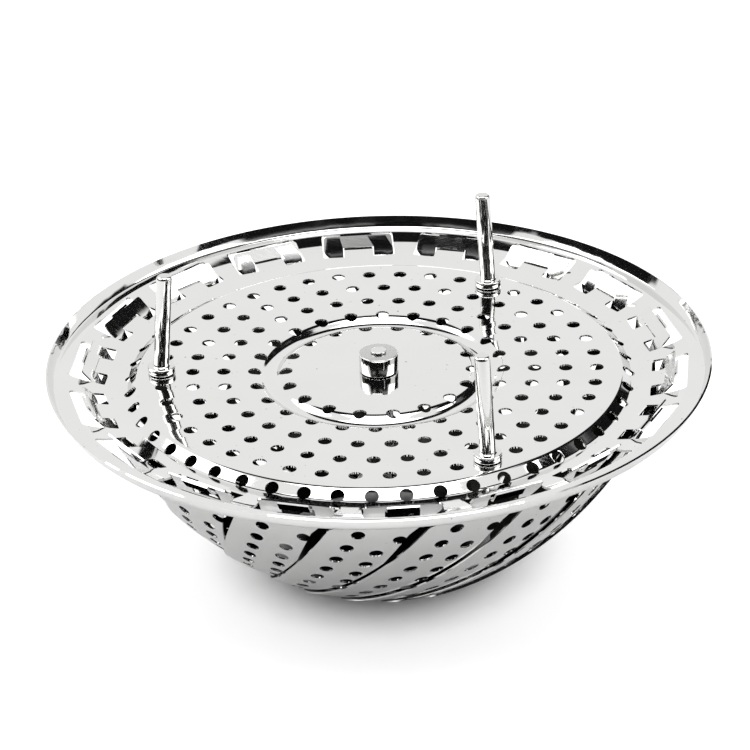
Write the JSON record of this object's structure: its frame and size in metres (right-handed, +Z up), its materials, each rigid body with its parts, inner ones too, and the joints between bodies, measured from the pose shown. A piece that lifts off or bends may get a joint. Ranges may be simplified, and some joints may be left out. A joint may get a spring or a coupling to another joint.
{
  "type": "folding steamer basket",
  "caption": "Folding steamer basket of perforated sheet steel: a round plate on short feet, ringed by hinged overlapping petals, with a lift ring on a central post.",
  "frame": {"origin": "on the floor below the middle of the plate, where the closed petals stand", "axes": "+Z up along the post, towards the feet; -Y towards the viewer of the picture; +X to the right"},
  "size_m": [0.2028, 0.2028, 0.0952],
  "materials": {
    "plate_steel": "polished sheet, fine scratches",
    "petal_steel": "polished thin sheet",
    "turned_steel": "bright turned rod"
  },
  "bodies": {
    "base": {"base_plate": "plate_steel", "leg_1": "turned_steel", "leg_2": "turned_steel", "leg_3": "turned_steel", "post_collar": "turned_steel", "center_post": "turned_steel"},
    "petal_01": {"petal_01": "petal_steel"},
    "petal_02": {"petal_02": "petal_steel"},
    "petal_03": {"petal_03": "petal_steel"},
    "petal_04": {"petal_04": "petal_steel"},
    "petal_05": {"petal_05": "petal_steel"},
    "petal_06": {"petal_06": "petal_steel"},
    "petal_07": {"petal_07": "petal_steel"},
    "petal_08": {"petal_08": "petal_steel"},
    "petal_09": {"petal_09": "petal_steel"},
    "petal_10": {"petal_10": "petal_steel"},
    "petal_11": {"petal_11": "petal_steel"},
    "petal_12": {"petal_12": "petal_steel"},
    "petal_13": {"petal_13": "petal_steel"},
    "petal_14": {"petal_14": "petal_steel"},
    "petal_15": {"petal_15": "petal_steel"},
    "petal_16": {"petal_16": "petal_steel"},
    "petal_17": {"petal_17": "petal_steel"},
    "petal_18": {"petal_18": "petal_steel"},
    "lift_ring": {"lift_ring": "turned_steel"}
  },
  "joints": [
    {"name": "hinge_petal_01", "type": "hinge", "parent": "base", "child": "petal_01", "pos_m": [0.00903, -0.08593, 0.0614], "axis": [-0.9945, -0.1045, 0], "range_deg": [0, 110]},
    {"name": "hinge_petal_02", "type": "hinge", "parent": "base", "child": "petal_02", "pos_m": [0.03787, -0.07766, 0.0614], "axis": [-0.8988, -0.4384, 0], "range_deg": [0, 110]},
    {"name": "hinge_petal_03", "type": "hinge", "parent": "base", "child": "petal_03", "pos_m": [0.06215, -0.06002, 0.0614], "axis": [-0.6947, -0.7193, 0], "range_deg": [0, 110]},
    {"name": "hinge_petal_04", "type": "hinge", "parent": "base", "child": "petal_04", "pos_m": [0.07893, -0.03514, 0.0614], "axis": [-0.4067, -0.9135, 0], "range_deg": [0, 110]},
    {"name": "hinge_petal_05", "type": "hinge", "parent": "base", "child": "petal_05", "pos_m": [0.08619, -0.00603, 0.0614], "axis": [-0.0698, -0.9976, 0], "range_deg": [0, 110]},
    {"name": "hinge_petal_06", "type": "hinge", "parent": "base", "child": "petal_06", "pos_m": [0.08305, 0.02381, 0.0614], "axis": [0.2756, -0.9613, 0], "range_deg": [0, 110]},
    {"name": "hinge_petal_07", "type": "hinge", "parent": "base", "child": "petal_07", "pos_m": [0.0699, 0.05078, 0.0614], "axis": [0.5878, -0.809, 0], "range_deg": [0, 110]},
    {"name": "hinge_petal_08", "type": "hinge", "parent": "base", "child": "petal_08", "pos_m": [0.04831, 0.07163, 0.0614], "axis": [0.829, -0.5592, 0], "range_deg": [0, 110]},
    {"name": "hinge_petal_09", "type": "hinge", "parent": "base", "child": "petal_09", "pos_m": [0.0209, 0.08383, 0.0614], "axis": [0.9703, -0.2419, 0], "range_deg": [0, 110]},
    {"name": "hinge_petal_10", "type": "hinge", "parent": "base", "child": "petal_10", "pos_m": [-0.00903, 0.08593, 0.0614], "axis": [0.9945, 0.1045, 0], "range_deg": [0, 110]},
    {"name": "hinge_petal_11", "type": "hinge", "parent": "base", "child": "petal_11", "pos_m": [-0.03787, 0.07766, 0.0614], "axis": [0.8988, 0.4384, 0], "range_deg": [0, 110]},
    {"name": "hinge_petal_12", "type": "hinge", "parent": "base", "child": "petal_12", "pos_m": [-0.06215, 0.06002, 0.0614], "axis": [0.6947, 0.7193, 0], "range_deg": [0, 110]},
    {"name": "hinge_petal_13", "type": "hinge", "parent": "base", "child": "petal_13", "pos_m": [-0.07893, 0.03514, 0.0614], "axis": [0.4067, 0.9135, 0], "range_deg": [0, 110]},
    {"name": "hinge_petal_14", "type": "hinge", "parent": "base", "child": "petal_14", "pos_m": [-0.08619, 0.00603, 0.0614], "axis": [0.0698, 0.9976, 0], "range_deg": [0, 110]},
    {"name": "hinge_petal_15", "type": "hinge", "parent": "base", "child": "petal_15", "pos_m": [-0.08305, -0.02381, 0.0614], "axis": [-0.2756, 0.9613, 0], "range_deg": [0, 110]},
    {"name": "hinge_petal_16", "type": "hinge", "parent": "base", "child": "petal_16", "pos_m": [-0.0699, -0.05078, 0.0614], "axis": [-0.5878, 0.809, 0], "range_deg": [0, 110]},
    {"name": "hinge_petal_17", "type": "hinge", "parent": "base", "child": "petal_17", "pos_m": [-0.04831, -0.07163, 0.0614], "axis": [-0.829, 0.5592, 0], "range_deg": [0, 110]},
    {"name": "hinge_petal_18", "type": "hinge", "parent": "base", "child": "petal_18", "pos_m": [-0.0209, -0.08383, 0.0614], "axis": [-0.9703, 0.2419, 0], "range_deg": [0, 110]},
    {"name": "lift_ring_swing", "type": "hinge", "parent": "base", "child": "lift_ring", "pos_m": [0, 0, 0.02657], "axis": [1, 0, 0], "range_deg": [-90, 90]}
  ],
  "couplings": [
    {"joint": "hinge_petal_02", "follows": "hinge_petal_01", "ratio": 1},
    {"joint": "hinge_petal_03", "follows": "hinge_petal_01", "ratio": 1},
    {"joint": "hinge_petal_04", "follows": "hinge_petal_01", "ratio": 1},
    {"joint": "hinge_petal_05", "follows": "hinge_petal_01", "ratio": 1},
    {"joint": "hinge_petal_06", "follows": "hinge_petal_01", "ratio": 1},
    {"joint": "hinge_petal_07", "follows": "hinge_petal_01", "ratio": 1},
    {"joint": "hinge_petal_08", "follows": "hinge_petal_01", "ratio": 1},
    {"joint": "hinge_petal_09", "follows": "hinge_petal_01", "ratio": 1},
    {"joint": "hinge_petal_10", "follows": "hinge_petal_01", "ratio": 1},
    {"joint": "hinge_petal_11", "follows": "hinge_petal_01", "ratio": 1},
    {"joint": "hinge_petal_12", "follows": "hinge_petal_01", "ratio": 1},
    {"joint": "hinge_petal_13", "follows": "hinge_petal_01", "ratio": 1},
    {"joint": "hinge_petal_14", "follows": "hinge_petal_01", "ratio": 1},
    {"joint": "hinge_petal_15", "follows": "hinge_petal_01", "ratio": 1},
    {"joint": "hinge_petal_16", "follows": "hinge_petal_01", "ratio": 1},
    {"joint": "hinge_petal_17", "follows": "hinge_petal_01", "ratio": 1},
    {"joint": "hinge_petal_18", "follows": "hinge_petal_01", "ratio": 1}
  ]
}
